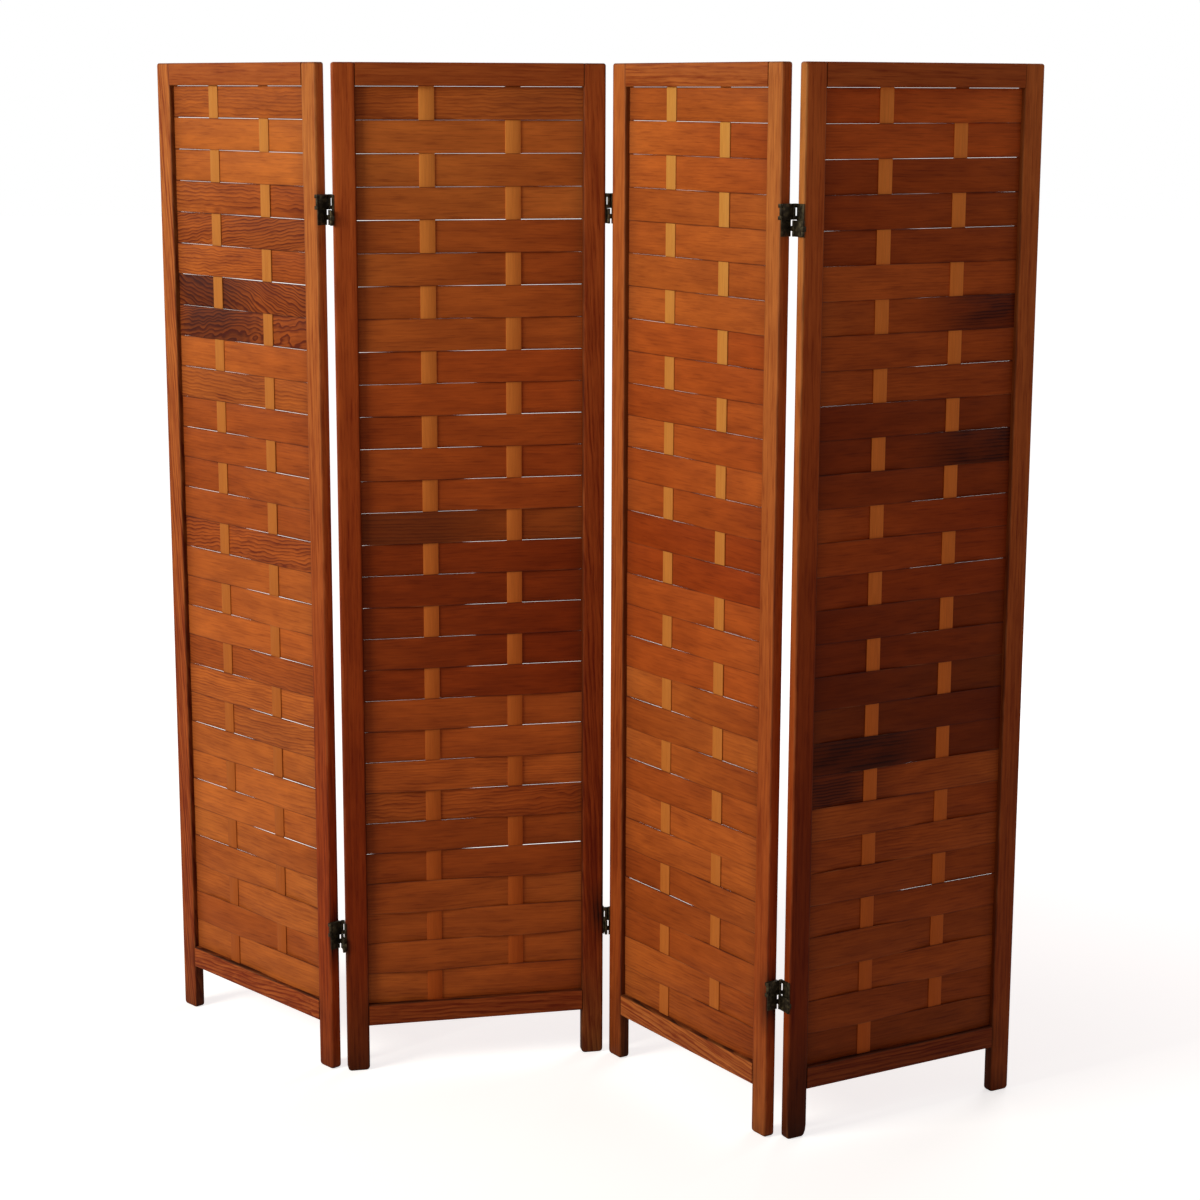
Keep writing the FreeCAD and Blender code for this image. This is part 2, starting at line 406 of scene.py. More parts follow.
# %% Wood grain
# How often a pattern changes in a metre: along the fibres, across them and through the board
SWAY_PACE = (6.0, 20.0, 20.0)
CURL_PACE = (42.0, 30.0, 30.0)
RING_PACE = (1.2, 70.0, 70.0)
FIBRE_PACE = (26.0, 800.0, 800.0)
STREAK_PACE = (6.0, 210.0, 210.0)
FLECK_PACE = (24.0, 380.0, 380.0)
CLOUD_PACE = (13.0, 50.0, 50.0)
# How far fibres sway and rings stray, in metres
SWAY_REACH = 0.02
RING_REACH = 0.008
# A ring texture of scale 1 repeats after this length
RING_REPEAT = math.pi / 10
# A ring darkens through the year and is pale again at once
RING_STOPS = ((0.0, 0.0), (0.4, 0.1), (0.72, 0.6), (0.9, 1.0), (1.0, 0.0))
STREAK_STOPS = ((0.42, 0.0), (0.66, 1.0))
FLECK_STOPS = ((0.52, 0.0), (0.7, 1.0))


def sway(tree, coords, pace, reach, detail, amount):
    """Coordinates pushed sideways by a noise, as far as its reach times an amount."""
    push = noise(tree, stretch(tree, coords, pace), detail).outputs["Color"]
    push = vector_calc(tree, "SUBTRACT", {0: push, 1: (0.5, 0.5, 0.5)})
    push = vector_calc(tree, "SCALE", {0: push, 3: amount})
    return vector_calc(tree, "MULTIPLY_ADD", {0: push, 1: (0.0, reach, reach), 2: coords})


def wood_grain(tree, figure, ring_size, curl):
    """The patterns of the grain, by name."""
    bent = sway(tree, attribute(tree, "grain", "Vector"), SWAY_PACE, SWAY_REACH, detail=2.0, amount=figure)
    curled = sway(tree, bent, CURL_PACE, curl, detail=0.5, amount=figure)
    uneven = sway(tree, curled, RING_PACE, RING_REACH, detail=1.0, amount=1.0)
    rings = put(tree, "ShaderNodeTexWave", {"Vector": uneven, "Scale": RING_REPEAT / ring_size},
                wave_type="RINGS", rings_direction="X", wave_profile="SAW").outputs["Fac"]
    streaks = noise(tree, stretch(tree, curled, STREAK_PACE), detail=3.0).outputs["Fac"]
    flecks = noise(tree, stretch(tree, bent, FLECK_PACE), detail=2.0).outputs["Fac"]
    return {
        "rings": ramp(tree, rings, RING_STOPS),
        "streaks": ramp(tree, streaks, STREAK_STOPS),
        "flecks": ramp(tree, flecks, FLECK_STOPS),
        "fibres": noise(tree, stretch(tree, bent, FIBRE_PACE), detail=3.0).outputs["Fac"],
        "clouds": noise(tree, stretch(tree, bent, CLOUD_PACE), detail=4.0).outputs["Fac"],
    }


print("fibres per metre", FIBRE_PACE[1], "across and", FIBRE_PACE[0], "along")

# %% [markdown]
# ## Wood colours
# Rings, streaks, flecks and clouds all draw the wood from its early colour to its late one. A plain dark shade would
# turn it grey, so the late colour is redder as well as darker. Stains, dirt and painted shade go darker still, mostly
# along the rings. The board's tone then makes it lighter or redder, and red is made by taking away green and blue.
# Painted shade and dirt darken the edges, and in a few places they are rubbed pale.

# %% Wood colours
FIGURE_POWER = 1.5
STREAK_GAIN, STREAK_LEAST = 1.1, 0.35
RING_STAIN_AND_SHADE, PLAIN_STAIN_AND_SHADE = 0.4, 0.75
LESS_GREEN, LESS_BLUE = -0.6, -0.8
# What the clouds do, from dark to light: draw to the late colour, hold stains and painted shade, hold painted edge
# shade and grime, and let an edge be rubbed
CLOUD_STOPS = ((0.36, 1.0), (0.64, 0.0))
STAIN_AND_SHADE_STOPS = ((0.32, 0.5), (0.56, 1.0))
SHADE_AND_GRIME_STOPS = ((0.38, 0.9), (0.62, 0.4))
RUB_STOPS = ((0.54, 0.0), (0.68, 0.5))
RUBBED_WOOD = (0.42, 0.15, 0.05, 1)


def grown_wood(tree, grain, figure, early, late, ring_share, streak_depth, fleck_depth, cloud_depth):
    strength = calc(tree, "MULTIPLY", calc(tree, "POWER", figure, FIGURE_POWER), ring_share)
    share = calc(tree, "MULTIPLY", grain["rings"], strength)
    boldness = calc(tree, "MULTIPLY_ADD", figure, STREAK_GAIN, STREAK_LEAST)
    share = calc(tree, "MULTIPLY_ADD", calc(tree, "MULTIPLY", grain["streaks"], boldness), streak_depth, share)
    share = calc(tree, "MULTIPLY_ADD", grain["flecks"], fleck_depth, share)
    share = calc(tree, "MULTIPLY_ADD", ramp(tree, grain["clouds"], CLOUD_STOPS), cloud_depth, share)
    return mix(tree, share, (*early, 1), (*late, 1))


def stained_and_shaded_wood(tree, grain, colour, dark):
    patch = ramp(tree, grain["clouds"], STAIN_AND_SHADE_STOPS)
    lines = calc(tree, "MULTIPLY_ADD", grain["rings"], RING_STAIN_AND_SHADE, PLAIN_STAIN_AND_SHADE)
    # Stains and dirt, with painted shade in the corners, at the slat ends and along rail edges, strongest along the
    # rings
    stained = calc(tree, "MULTIPLY", calc(tree, "MULTIPLY", attribute(tree, "stain_and_shade", "Fac"), patch), lines)
    return mix(tree, stained, colour, (*dark, 1))


def toned_wood(tree, grain, colour, light, red, fibre_depth):
    shade = calc(tree, "MULTIPLY_ADD", grain["fibres"], fibre_depth, 1 - fibre_depth / 2)
    shade = calc(tree, "MULTIPLY", shade, light)
    green = calc(tree, "MULTIPLY", shade, calc(tree, "MULTIPLY_ADD", red, LESS_GREEN, 1.0))
    blue = calc(tree, "MULTIPLY", shade, calc(tree, "MULTIPLY_ADD", red, LESS_BLUE, 1.0))
    tint = put(tree, "ShaderNodeCombineXYZ", {0: shade, 1: green, 2: blue}).outputs[0]
    return mix(tree, 1.0, colour, tint, "MULTIPLY")


def shaded_worn_edges(tree, grain, colour, dark, rim):
    """Painted shade with grime, and rubbed spots, from where the edge level reaches the rim out to the edge itself.
    """
    edge_shade_and_wear = calc(tree, "ABSOLUTE", attribute(tree, "edge_shade_and_wear", "Fac"))
    edge = put(tree, "ShaderNodeMapRange", {"Value": edge_shade_and_wear, 1: rim, 2: 1.0}).outputs[0]
    # Painted shade along the edges, mixed with grime: on the slats it stands for the shadow lines between them
    shaded_grimy = calc(tree, "MULTIPLY", edge, ramp(tree, grain["clouds"], SHADE_AND_GRIME_STOPS))
    colour = mix(tree, shaded_grimy, colour, (*dark, 1))
    rubbed = calc(tree, "MULTIPLY", edge, ramp(tree, grain["clouds"], RUB_STOPS))
    return mix(tree, rubbed, colour, RUBBED_WOOD)


print("wood colour steps ready")

# %% [markdown]
# ## Three woods
# One finish serves all the wood, because the same lacquer went over it all. The frame is an orange brown with bold
# streaks. The slats are redder and finer, and only their very edges are darkened, with painted shade for the shadow
# lines between them and a little dirt. The strips are of a paler, honey wood.

# %% Three woods
SATIN, FIBRE_ROUGHNESS = 0.38, 0.2
LACQUER_SHINE = 0.08
FIBRE_BUMP, FIBRE_HEIGHT = 0.08, 0.0004


def wood_finish(name, early, late, dark, ring_size, curl, fibre_depth, rim, **depths):
    material, tree, shader = new_finish(name)
    tone = put(tree, "ShaderNodeSeparateXYZ", {0: attribute(tree, "tone", "Vector")}).outputs
    light, red, figure = tone[0], tone[1], tone[2]
    grain = wood_grain(tree, figure, ring_size, curl)
    colour = grown_wood(tree, grain, figure, early, late, **depths)
    colour = stained_and_shaded_wood(tree, grain, colour, dark)
    colour = toned_wood(tree, grain, colour, light, red, fibre_depth)
    colour = shaded_worn_edges(tree, grain, colour, dark, rim)
    roughness = calc(tree, "MULTIPLY_ADD", grain["fibres"], FIBRE_ROUGHNESS, SATIN)
    bump = put(tree, "ShaderNodeBump", {"Height": grain["fibres"], "Strength": FIBRE_BUMP, "Distance": FIBRE_HEIGHT})
    tree.links.new(colour, shader.inputs["Base Color"])
    tree.links.new(roughness, shader.inputs["Roughness"])
    tree.links.new(bump.outputs[0], shader.inputs["Normal"])
    shader.inputs["Specular IOR Level"].default_value = LACQUER_SHINE
    return material


FRAME_WOOD = wood_finish("lacquered frame wood", (0.55, 0.186, 0.042), (0.24, 0.045, 0.010), (0.03, 0.011, 0.006),
                         ring_size=0.0068, ring_share=1.1, curl=0.004, fibre_depth=0.4, streak_depth=0.55,
                         fleck_depth=0.35, cloud_depth=0.25, rim=0.0)
SLAT_WOOD = wood_finish("lacquered slat wood", (0.485, 0.13, 0.022), (0.15, 0.026, 0.008), (0.06, 0.013, 0.009),
                        ring_size=0.0050, ring_share=1.15, curl=0.011, fibre_depth=0.3, streak_depth=0.22,
                        fleck_depth=0.26, cloud_depth=0.28, rim=0.93)
STRIP_WOOD = wood_finish("honey strip wood", (0.60, 0.225, 0.043), (0.42, 0.125, 0.022), (0.3, 0.08, 0.02),
                         ring_size=0.0026, ring_share=0.5, curl=0.004, fibre_depth=0.3, streak_depth=0.3,
                         fleck_depth=0.15, cloud_depth=0.15, rim=0.0)
print("three wood finishes")

# %% [markdown]
# ## Stiles
# A stile is the upright at each side of a panel. It runs on below the rail as a foot. The outer corners at its
# top and the corners of its foot are eased first, and then a smaller radius goes along every edge. Doing it the
# other way round would bevel the bevels. One foot, on the last panel, has its inner corner worn away. Cuts across
# and along give points between the ends, where the colour can change.

# %% Stile shape
SIDES = ((-1, "left"), (1, "right"))
EDGE_RADIUS = 0.0033
CORNER_EASE = 0.004
FOOT_EASE = 0.006
WORN_CORNER_WIDTH = 0.008
WORN_CORNER_HEIGHT = 0.020
STILE_CUTS = 95
# Where the lengthwise cuts run, as shares of the width from the outer edge
STILE_LINES = (0.2, 0.5, 0.8)
# An edge is sharp, and gets a radius, where its faces turn by more than this
SHARP = math.radians(50)
NEAR = 1e-5


def ease_corner(boards, level, x, radius):
    """Round the short edge that runs from front to back at one corner of a board."""
    corner = [edge for edge in boards.bm.edges
              if all(abs(vert.co.z - level) < NEAR and abs(vert.co.x - x) < NEAR for vert in edge.verts)]
    boards.round(corner, radius, 3)


def wear_away(boards, x, width, height):
    """Draw a rounded corner at the floor out to the height of a worn one."""
    for vert in boards.bm.verts:
        if abs(vert.co.x - x) < width + NEAR and vert.co.z < width + NEAR:
            vert.co.z *= height / width


def stile_board(low, high, outer, inner, worn):
    boards = Boards()
    boards.add(low, high)
    ease_corner(boards, PANEL_HEIGHT, outer, CORNER_EASE)
    ease_corner(boards, 0, outer, FOOT_EASE)
    ease_corner(boards, 0, inner, WORN_CORNER_WIDTH if worn else FOOT_EASE)
    if worn:
        wear_away(boards, inner, WORN_CORNER_WIDTH, WORN_CORNER_HEIGHT)
    sharp = [edge for edge in boards.bm.edges if edge.calc_face_angle(0) > SHARP]
    boards.round(sharp, EDGE_RADIUS, 3)
    boards.cut(PANEL_HEIGHT / 2, STILE_CUTS)
    for line in STILE_LINES:
        parts = [*boards.bm.verts, *boards.bm.edges, *boards.bm.faces]
        bmesh.ops.bisect_plane(boards.bm, geom=parts, plane_co=(outer + (inner - outer) * line, 0, 0),
                               plane_no=(1, 0, 0))
    return boards


print("stile", STILE_WIDTH, "by", FRAME_THICKNESS, "m, edges", EDGE_RADIUS)

# %% [markdown]
# ### Stile colours
# Each stile is lighter and more golden at its top, and deeper and redder lower down, so each has a tone low down
# and one at its top. The feet have been knocked and mopped, and are a duller brown. Hands have left the wood black
# beside the lower hinges, dirt and painted shade darken the corners over the feet, and the very ends of the feet are
# scuffed pale. One tone for all would look new, so each stile has its own.

# %% Stile colours
# How light and how red a stile is low down and at its top, and how figured
STILE_TONES = {
    (1, "left"): (0.70, 0.62, 0.93, 0.12, 0.75),
    (1, "right"): (0.575, 0.90, 0.97, 0.0, 0.40),
    (2, "left"): (0.47, 1.00, 0.85, 0.62, 0.25),
    (2, "right"): (0.52, 0.88, 0.76, 0.53, 0.55),
    (3, "left"): (0.68, 0.62, 0.95, 0.26, 0.40),
    (3, "right"): (0.72, 0.64, 0.97, 0.06, 0.25),
    (4, "left"): (0.37, 1.03, 1.06, 0.53, 0.25),
    (4, "right"): (0.60, 0.70, 1.10, 0.36, 0.30),
}
# How much lighter or darker a foot is at the floor, and how much less red
FOOT_TONES = {
    (1, "left"): (0.86, 0.12), (1, "right"): (0.95, 0.20), (2, "left"): (0.52, 0.32), (2, "right"): (1.05, 0.75),
    (3, "left"): (0.70, 0.10), (3, "right"): (1.05, 0.38), (4, "left"): (0.30, 0.26), (4, "right"): (0.80, 0.12),
}
# How high the smudge beside a lower hinge is, and how far across the stile it reaches
SMUDGES = {(1, "right"): (0.245, 0.12), (2, "left"): (0.225, 0.15), (2, "right"): (0.262, 0.6),
           (3, "left"): (0.245, 0.12), (3, "right"): (0.237, 0.5)}
NO_SMUDGE = (-1.0, 1.0)
# Painted light on the outer edge of a stile: how it differs from its face, in light and in red, low down and at its
# top
EDGE_PAINTED_LIGHT = {(1, "right"): (1.27, 0.12, 1.27, 0.12), (3, "right"): (1.0, 0.35, 1.0, 0.35),
              (4, "left"): (1.5, -0.15, 0.95, -0.65)}
PLAIN_EDGE = (1.0, 0.0, 1.0, 0.0)


def fade(value, reach):
    """Falls from 1 to nothing as a distance grows to its reach."""
    return max(0.0, 1 - abs(value) / reach)


def between(low, high, share):
    return low + (high - low) * share


print("stile tones", len(STILE_TONES), "smudges", len(SMUDGES))

# %% [markdown]
# ### Dirt and painted shade on the stiles
# Dirt isn't even. It is thickest where a hand takes hold or a mop can't reach, and thins out from there. The corner
# over each foot also gets painted shade with its dirt. Each kind has a place and a reach, and the strongest one at a
# point wins.

# %% Dirt and painted shade on the stiles
SMUDGE_REACH, SMUDGE_CORE = 0.07, 1.5
CORNER_SHADE_AND_DIRT, CORNER_DROP, CORNER_RISE, CORNER_SHARE = 0.5, 0.02, 0.05, 0.6
FLOOR_DIRT, FLOOR_RISE = 0.4, 0.05
MOST_DIRT_AND_SHADE = 1.2


def stile_stain_and_shade(z, inset, smudge):
    """Dirt on a stile at a height, with painted shade in the corner over the foot, where the inset is 0 at its outer
    edge and 1 at its inner one.
    """
    level, reach = smudge
    by_hinge = fade(z - level, SMUDGE_REACH) * max(0.0, SMUDGE_CORE - inset / reach)
    # Painted shade with dirt in the corner over the foot, where the stile meets the bottom rail
    in_corner = fade(z - OPENING_BOTTOM + CORNER_DROP, CORNER_RISE) * fade(1 - inset, CORNER_SHARE)
    return min(MOST_DIRT_AND_SHADE, max(by_hinge, CORNER_SHADE_AND_DIRT * in_corner, FLOOR_DIRT * fade(z, FLOOR_RISE)))


print("dirt at the floor", round(stile_stain_and_shade(0.0, 0.5, NO_SMUDGE), 2))

# %% [markdown]
# ### Making the stiles
# Each point of a stile now gets its tone from its height and from the face that it is on. The inner edges get painted
# shade, darker as if they lay in the shade of the opening, and a few outer edges get painted light, a little lighter
# or redder than the face.

# %% Stiles
TOP_TONE_START, TOP_TONE_LENGTH = 0.25, 0.65
TOP_FIGURE_LOSS = 0.35
FOOT_REACH = 0.22
INNER_SHADE = 0.45
SCUFFED_HEIGHT = 0.0015
SCUFF_LIGHT, SCUFF_RED = 2.0, 0.4


def stile(panel, side, name):
    outer = side * PANEL_WIDTH / 2
    inner = side * OPENING_HALF
    low = Vector((min(outer, inner), -FRAME_THICKNESS / 2, 0))
    high = Vector((max(outer, inner), FRAME_THICKNESS / 2, PANEL_HEIGHT))
    boards = stile_board(low, high, outer, inner, worn=panel == PANELS[-1] and name == "left")

    low_light, low_red, top_light, top_red, figure = STILE_TONES[panel, name]
    low_edge, low_edge_red, top_edge, top_edge_red = EDGE_PAINTED_LIGHT.get((panel, name), PLAIN_EDGE)
    foot_light, foot_dull = FOOT_TONES[panel, name]
    smudge = SMUDGES.get((panel, name), NO_SMUDGE)
    tree_place = from_tree(figure)
    spot, half = (low + high) / 2, (high - low) / 2
    for vert in boards.bm.verts:
        toward_top = max(0.0, min(1.0, (vert.co.z / PANEL_HEIGHT - TOP_TONE_START) / TOP_TONE_LENGTH))
        foot = fade(vert.co.z, FOOT_REACH)
        light = between(low_light, top_light, toward_top) * between(1, foot_light, foot)
        red = between(low_red, top_red, toward_top) - foot_dull * foot
        stain_and_shade = stile_stain_and_shade(vert.co.z, abs(vert.co.x - outer) / STILE_WIDTH, smudge)
        # Painted shade on the inner edge, which faces into the opening
        if abs(vert.co.x - inner) < EDGE_RADIUS / 2:
            light *= INNER_SHADE
        # Painted light on a few outer edges, lighter or redder than the face
        elif abs(vert.co.x - outer) < EDGE_RADIUS / 2:
            light *= between(low_edge, top_edge, toward_top)
            red += between(low_edge_red, top_edge_red, toward_top)
        if vert.co.z < SCUFFED_HEIGHT:
            light, red, stain_and_shade = light * SCUFF_LIGHT, red * SCUFF_RED, 0.0
        grain = tree_place(vert.co.z, vert.co.x - spot.x, vert.co.y)
        tone = Vector((light, red, figure * (1 - TOP_FIGURE_LOSS * toward_top)))
        boards.mark(vert, grain, tone, stain_and_shade, edge_shade_and_wear_level(half, vert.co - spot, EDGE_RADIUS))
    return finish_piece(boards.bm, f"stile_{panel}_{name}", panel, FRAME_WOOD, [f"panel_{panel}_{name}_stile"])


stiles = [stile(panel, side, name) for panel in PANELS for side, name in SIDES]
print("stiles", len(stiles))

# %% [markdown]
# ## Rails
# The rails close the frame at its top and just above the feet. Their ends butt against the stiles, with the tenons
# out of sight, so the tenons aren't modelled here and only the long edges are rounded. The bottom rails have the deep
# red of the lower stiles, apart from one that is browner, and the first panel's has strong dark figure. Painted shade
# with dust lies along their upper edges.

# %% Rails
RAIL_LEVELS = {"bottom": FOOT_HEIGHT, "top": OPENING_TOP}
RAIL_EDGE_RADIUS = EDGE_RADIUS * 0.7
RAIL_EDGE_SHADE_AND_DUST = 1.0
FAR_OFF = 1
# How light, how red, how figured and how stained a rail is
RAIL_TONES = {
    (1, "bottom"): (0.92, 0.50, 0.80, 0.20), (1, "top"): (0.72, 0.42, 0.20, 0.0),
    (2, "bottom"): (0.64, 0.62, 0.55, 0.15), (2, "top"): (0.74, 0.52, 0.20, 0.0),
    (3, "bottom"): (1.02, 0.20, 0.70, 0.10), (3, "top"): (0.85, 0.32, 0.35, 0.0),
    (4, "bottom"): (0.50, 0.72, 0.55, 0.20), (4, "top"): (0.90, 0.55, 0.20, 0.0),
}


def rail(panel, name):
    bottom = RAIL_LEVELS[name]
    low = Vector((-OPENING_HALF, -FRAME_THICKNESS / 2, bottom))
    high = Vector((OPENING_HALF, FRAME_THICKNESS / 2, bottom + RAIL_HEIGHT))
    boards = Boards()
    boards.add(low, high)
    boards.round(boards.long_edges(OPENING_HALF), RAIL_EDGE_RADIUS, 3)
    light, red, figure, stain_and_shade = RAIL_TONES[panel, name]
    tree_place = from_tree(figure)
    spot, half = (low + high) / 2, (high - low) / 2
    # All points of a rail are at its ends, so the ends are set far off, not to count as faces
    reach = (FAR_OFF, half.y, half.z)
    for vert in boards.bm.verts:
        grain = tree_place(vert.co.x, vert.co.z - spot.z, vert.co.y)
        edge_shade_and_wear = edge_shade_and_wear_level(reach, vert.co - spot, EDGE_RADIUS)
        # Painted shade with dust along the upper edge of a bottom rail
        rail_darkening = RAIL_EDGE_SHADE_AND_DUST if name == "bottom" and high.z - vert.co.z < EDGE_RADIUS / 2 else stain_and_shade
        boards.mark(vert, grain, Vector((light, red, figure)), rail_darkening, edge_shade_and_wear)
    return finish_piece(boards.bm, f"rail_{panel}_{name}", panel, FRAME_WOOD, [f"panel_{panel}_{name}_rail"])


rails = [rail(panel, name) for panel in PANELS for name in RAIL_LEVELS]
print("rails", len(rails))

# %% [markdown]
# ## Strips
# Two thin upright strips stand in each opening, let into the rails. They are of a paler, honey-coloured wood, and
# show wherever a slat passes behind them. A strip could be made only where it shows, but a whole one is right from
# both sides. Cuts along it let its colour change from top to bottom.

# %% Strips
STRIP_OFFSET = 0.072
STRIP_WIDTH = 0.026
STRIP_THICKNESS = 0.0016
STRIP_INSERT = 0.005
STRIP_CUTS = 47
STRIP_EDGE_RADIUS = 0.0004
STRIP_FIGURE = (0.05, 0.2)
# How light and how red a panel's strips are at the bottom and at the top
STRIP_TONES = {1: (0.60, 0.70, 0.90, -0.10), 2: (0.62, 0.85, 1.22, 0.05), 3: (0.83, 0.48, 1.10, -0.38),
               4: (0.76, 0.78, 1.65, 0.25)}


def strip(panel, side, name):
    x = side * STRIP_OFFSET
    low = Vector((x - STRIP_WIDTH / 2, -STRIP_THICKNESS / 2, OPENING_BOTTOM - STRIP_INSERT))
    high = Vector((x + STRIP_WIDTH / 2, STRIP_THICKNESS / 2, OPENING_TOP + STRIP_INSERT))
    boards = Boards()
    boards.add(low, high)
    boards.round(boards.long_edges(STRIP_WIDTH * 2), STRIP_EDGE_RADIUS, 2)
    boards.cut(STRIP_WIDTH * 2, STRIP_CUTS)
    figure = chance.uniform(*STRIP_FIGURE)
    tree_place = from_tree(figure)
    low_light, low_red, top_light, top_red = STRIP_TONES[panel]
    for vert in boards.bm.verts:
        toward_top = vert.co.z / PANEL_HEIGHT
        tone = Vector((between(low_light, top_light, toward_top), between(low_red, top_red, toward_top), figure))
        boards.mark(vert, tree_place(vert.co.z, vert.co.x - x, vert.co.y), tone)
    return finish_piece(boards.bm, f"strip_{panel}_{name}", panel, STRIP_WOOD, [f"panel_{panel}_{name}_strip"])


strips = [strip(panel, side, name) for panel in PANELS for side, name in SIDES]
print("strips", len(strips))

# %% [markdown]
# ## Slats
# Each slat bows behind one strip and in front of the other, and its neighbour does the opposite. A sine wave would be
# too round for that: a thin slat is nearly straight between its ends and the strips, so the curve of a bent beam is
# used. All the odd slats of a panel are one piece, and all the even ones another.

# %% Slat sizes
SLAT_COUNT = 29
SLAT_THICKNESS = 0.0015
SLAT_GAP = 0.0006
SLAT_HEAD_GAP = 0.0006
SLAT_FOOT_GAP = 0.0005
SLAT_INSERT = 0.008
WEAVE_CLEARANCE = 0.0001
SLAT_EDGE_RADIUS = 0.0004
SLAT_CUTS = 23

slat_end = OPENING_HALF + SLAT_INSERT
slat_room = OPENING_TOP - SLAT_HEAD_GAP - OPENING_BOTTOM - SLAT_FOOT_GAP
slat_height = (slat_room - (SLAT_COUNT - 1) * SLAT_GAP) / SLAT_COUNT
slat_pitch = slat_height + SLAT_GAP


def bend(x):
    """How far a thin slat bends, x from the panel's middle, when one strip pushes it back and the other forward.

    Each half is a beam held at its two ends and pressed at the strip, so it is nearly straight between them and
    turns mostly at the strip. The two halves lean opposite ways.
    """
    along = abs(x)
    outer = slat_end - STRIP_OFFSET
    rest = slat_end - along
    if along < STRIP_OFFSET:
        lean = outer * along * (slat_end ** 2 - outer ** 2 - along ** 2)
    else:
        lean = STRIP_OFFSET * rest * (slat_end ** 2 - STRIP_OFFSET ** 2 - rest ** 2)
    return math.copysign(lean, x)


strip_edge = STRIP_OFFSET - STRIP_WIDTH / 2
bow = ((SLAT_THICKNESS + STRIP_THICKNESS) / 2 + WEAVE_CLEARANCE) / bend(strip_edge)
bend_at_strip = bow * bend(STRIP_OFFSET)
print("slat", round(slat_height * 1000, 2), "mm high, bends", round(bend_at_strip * 1000, 3), "mm at a strip")

# %% [markdown]
# ### Which slats are dark
# Slats were cut from a few boards and woven in as they came, so neighbours often share a colour. Chance alone would
# spread the colours evenly, so the runs are listed. A run is given by its last row, counted from the top, and
# how light, how red and how figured its board was. A few slats go through to the dark heart of the tree at one place
# along them.

# %% Slat colours
SLAT_RUNS = {
    1: ((1, 0.92, 0.1, 0.5), (3, 1.05, 0.0, 0.15), (6, 0.9, 0.2, 0.7), (8, 0.78, 0.25, 1.0), (9, 0.94, 0.18, 0.2),
        (10, 1.0, 0.12, 0.6), (14, 0.84, 0.35, 0.25), (15, 0.9, 0.3, 0.7), (18, 1.01, 0.18, 0.2),
        (19, 0.86, 0.3, 0.5), (21, 1.08, 0.08, 0.5), (24, 1.1, 0.06, 0.25), (27, 1.05, 0.08, 0.3),
        (28, 0.8, 0.28, 0.2), (29, 1.05, 0.08, 0.2)),
    2: ((1, 1.16, 0.1, 0.4), (4, 1.18, 0.02, 0.12), (8, 0.96, 0.25, 0.12), (13, 0.9, 0.48, 0.15),
        (14, 0.66, 0.35, 0.2), (19, 0.58, 0.72, 0.15), (21, 0.95, 0.38, 0.15), (22, 1.18, 0.26, 0.4),
        (23, 1.0, 0.33, 0.5), (25, 0.76, 0.42, 0.15), (29, 0.93, 0.27, 0.2)),
    3: ((1, 1.0, 0.2, 0.2), (3, 1.08, 0.25, 0.2), (7, 1.0, 0.18, 0.15), (10, 0.9, 0.42, 0.15),
        (12, 1.0, 0.38, 0.12), (13, 0.85, 0.46, 0.12), (15, 0.71, 0.7, 0.12), (18, 0.94, 0.43, 0.15),
        (21, 0.96, 0.23, 0.2), (22, 0.85, 0.34, 0.2), (24, 1.01, 0.22, 0.25), (27, 0.83, 0.34, 0.2),
        (29, 0.91, 0.25, 0.35)),
    4: ((2, 1.37, 0.48, 0.15), (5, 0.88, 0.55, 0.25), (6, 1.24, 0.4, 0.2), (9, 0.98, 0.5, 0.25),
        (12, 0.6, 0.7, 0.12), (14, 0.86, 0.68, 0.15), (15, 0.68, 0.75, 0.12), (17, 0.51, 0.75, 0.12),
        (20, 0.41, 0.7, 0.12), (23, 0.93, 0.45, 0.35), (25, 0.77, 0.5, 0.3), (27, 0.8, 0.45, 0.25),
        (28, 0.66, 0.5, 0.2), (29, 0.55, 0.5, 0.2)),
}
# Where along a slat its heart lies, from -1 at the left end to 1 at the right, and how dark it is
DARK_HEARTS = {
    (1, 5): (0.6, 0.22), (1, 7): (-0.6, 1.0), (1, 8): (-0.45, 1.0), (1, 10): (-0.1, 0.15), (1, 21): (0.2, 0.22),
    (2, 1): (0.8, 0.3), (2, 14): (-0.6, 0.6),
    (4, 7): (0.9, 1.0), (4, 11): (0.8, 1.0), (4, 20): (-0.5, 1.0), (4, 21): (-0.9, 1.0),
}
HEART_REACH, HEART_CORE = 0.9, 1.5
END_SHADE_AND_DIRT, END_REACH = 0.35, 0.16
LIGHT_PLAY, FIGURE_PLAY = (0.95, 1.05), (0.8, 1.1)


def slat_tone(panel, row):
    """How light, how red and how figured a slat is, from its run with a little chance."""
    light, red, figure = next(run[1:] for run in SLAT_RUNS[panel] if row <= run[0])
    return Vector((light * chance.uniform(*LIGHT_PLAY), red, figure * chance.uniform(*FIGURE_PLAY)))


def slat_stain_and_shade(panel, row, x):
    """Painted shade with dirt where a slat goes into the stiles, and dark heartwood round its place along the slat.
    """
    # Painted shade with dirt where the slat goes into a stile
    dirt = END_SHADE_AND_DIRT * max(0.0, abs(x / OPENING_HALF) - (1 - END_REACH)) / END_REACH
    if (panel, row) not in DARK_HEARTS:
        return dirt
    spot, depth = DARK_HEARTS[panel, row]
    return max(dirt, depth * min(1.0, HEART_CORE * fade(x / slat_end - spot, HEART_REACH)))


print("runs of slats", sum(len(runs) for runs in SLAT_RUNS.values()), "with a dark heart", len(DARK_HEARTS))

